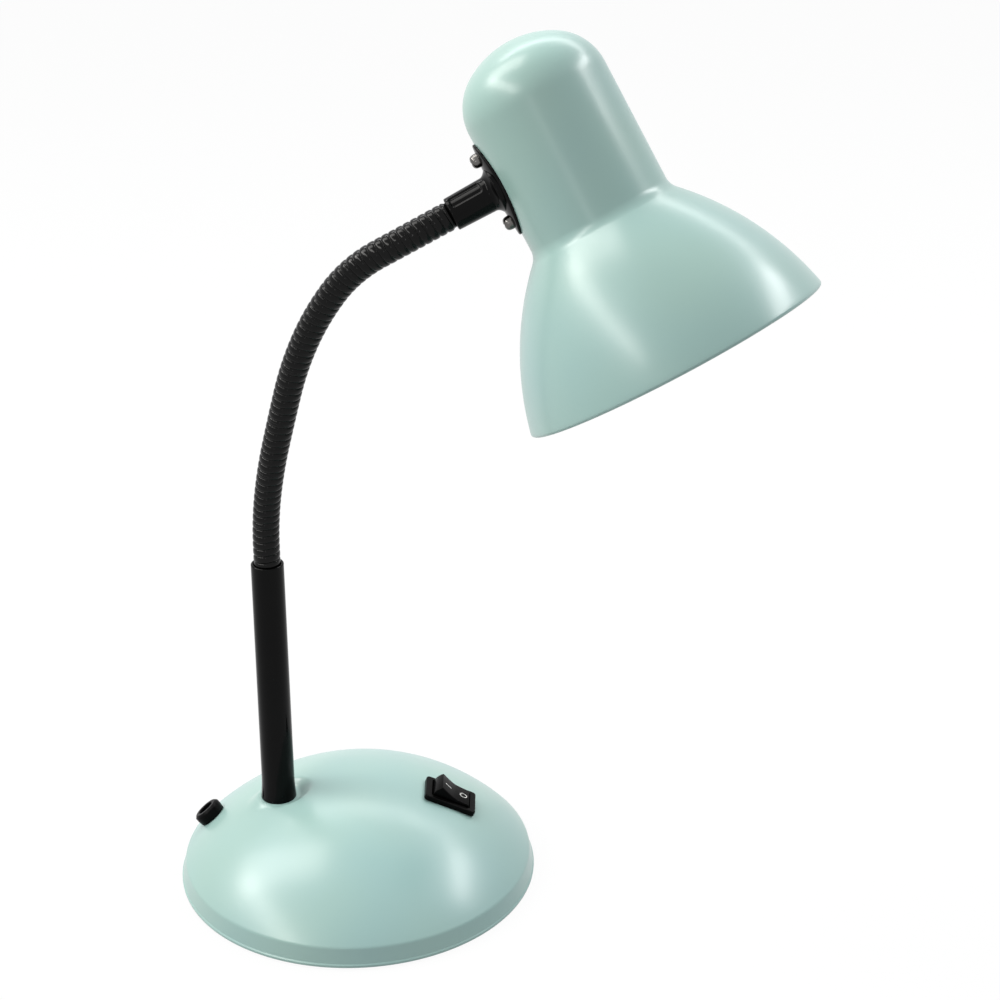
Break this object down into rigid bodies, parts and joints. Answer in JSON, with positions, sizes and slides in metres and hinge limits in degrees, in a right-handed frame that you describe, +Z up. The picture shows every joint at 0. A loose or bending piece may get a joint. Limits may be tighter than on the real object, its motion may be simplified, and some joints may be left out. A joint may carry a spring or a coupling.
{
  "type": "desk lamp",
  "caption": "Desk lamp with a weighted domed base, rocker switch, bendable ribbed neck and a bell shade on a collar that holds a globe bulb.",
  "frame": {"origin": "middle of the pad under the base, on the surface the lamp stands on", "axes": "+Z up, +X from the stem side of the base to the switch side, +Y to the rear"},
  "size_m": [0.2351, 0.1551, 0.332],
  "materials": {
    "mint_paint": "satin mint-green enamel",
    "black_plastic": "moulded black, fine satin grain",
    "black_rocker": "glossy black moulding",
    "black_hose": "black semi-gloss wound hose",
    "dark_screw": "blackened screw heads",
    "lead_jacket": "matt black jacket",
    "core_jacket": "brown core insulation",
    "bright_steel": "zinc-plated steel",
    "black_plate": "black-painted plate",
    "grey_iron": "as-cast iron",
    "soft_pad": "matt soft foam",
    "contact_brass": "bright brass",
    "holder_black": "heat-proof black moulding",
    "cap_metal": "bright rolled cap",
    "opal_glass": "opal white glass"
  },
  "bodies": {
    "base": {"base_shell": "mint_paint", "bottom_plate": "black_plate", "base_weight": "grey_iron", "weight_rivets": "bright_steel", "base_screws": "bright_steel", "base_pad": "soft_pad", "cord_bush": "black_plastic", "bush_nut": "black_plastic", "switch_housing": "black_plastic", "switch_terminals": "contact_brass", "switch_core": "core_jacket", "stem_sleeve": "black_plastic", "neck_nipple": "bright_steel", "nipple_washer": "bright_steel", "nipple_nut": "bright_steel", "neck_section_1": "black_hose", "neck_lead_1": "lead_jacket"},
    "rocker": {"switch_rocker": "black_rocker"},
    "neck_2": {"neck_section_2": "black_hose", "neck_lead_2": "lead_jacket"},
    "neck_3": {"neck_section_3": "black_hose", "neck_lead_3": "lead_jacket"},
    "neck_4": {"neck_section_4": "black_hose", "neck_lead_4": "lead_jacket"},
    "neck_5": {"neck_section_5": "black_hose", "neck_lead_5": "lead_jacket"},
    "neck_6": {"neck_section_6": "black_hose", "neck_lead_6": "lead_jacket"},
    "neck_7": {"neck_section_7": "black_hose", "neck_lead_7": "lead_jacket"},
    "neck_8": {"neck_section_8": "black_hose", "neck_lead_8": "lead_jacket"},
    "head": {"neck_section_9": "black_hose", "neck_lead_9": "lead_jacket", "neck_collar": "black_plastic", "collar_screws": "dark_screw", "shade": "mint_paint", "head_bracket": "bright_steel", "lampholder": "holder_black", "head_core_1": "core_jacket", "head_core_2": "core_jacket", "holder_screws": "bright_steel", "holder_thread": "contact_brass", "holder_contact": "contact_brass", "bulb_contact": "contact_brass", "bulb_cap": "cap_metal", "bulb_globe": "opal_glass"}
  },
  "joints": [
    {"name": "neck_bend_1", "type": "hinge", "parent": "base", "child": "neck_2", "pos_m": [-0.0308, 0, 0.13926], "axis": [0.742, 0.6704, 0], "range_deg": [-18, 18]},
    {"name": "neck_sway_1", "type": "hinge", "parent": "neck_2", "child": "neck_3", "pos_m": [-0.0291, -0.00188, 0.16155], "axis": [-0.6575, 0.7209, 0.2191], "range_deg": [-18, 18]},
    {"name": "neck_bend_2", "type": "hinge", "parent": "neck_3", "child": "neck_4", "pos_m": [-0.02475, -0.00551, 0.18329], "axis": [0.5604, 0.8282, 0], "range_deg": [-18, 18]},
    {"name": "neck_sway_2", "type": "hinge", "parent": "neck_4", "child": "neck_5", "pos_m": [-0.01921, -0.00917, 0.20477], "axis": [-0.801, 0.5154, 0.3046], "range_deg": [-18, 18]},
    {"name": "neck_bend_3", "type": "hinge", "parent": "neck_5", "child": "neck_6", "pos_m": [-0.01179, -0.01329, 0.22556], "axis": [0.4452, 0.8954, 0], "range_deg": [-18, 18]},
    {"name": "neck_sway_3", "type": "hinge", "parent": "neck_6", "child": "neck_7", "pos_m": [-0.0008, -0.01767, 0.24463], "axis": [-0.7568, 0.2471, 0.6051], "range_deg": [-18, 18]},
    {"name": "neck_bend_4", "type": "hinge", "parent": "neck_7", "child": "neck_8", "pos_m": [0.01557, -0.02123, 0.25937], "axis": [0.1393, 0.9903, 0], "range_deg": [-18, 18]},
    {"name": "neck_sway_4", "type": "hinge", "parent": "neck_8", "child": "head", "pos_m": [0.03523, -0.02063, 0.27009], "axis": [-0.4381, -0.0844, 0.8949], "range_deg": [-18, 18]},
    {"name": "rocker_tilt", "type": "hinge", "parent": "base", "child": "rocker", "pos_m": [0.03673, 0, 0.03162], "axis": [0, -1, 0], "range_deg": [0, 30]}
  ]
}
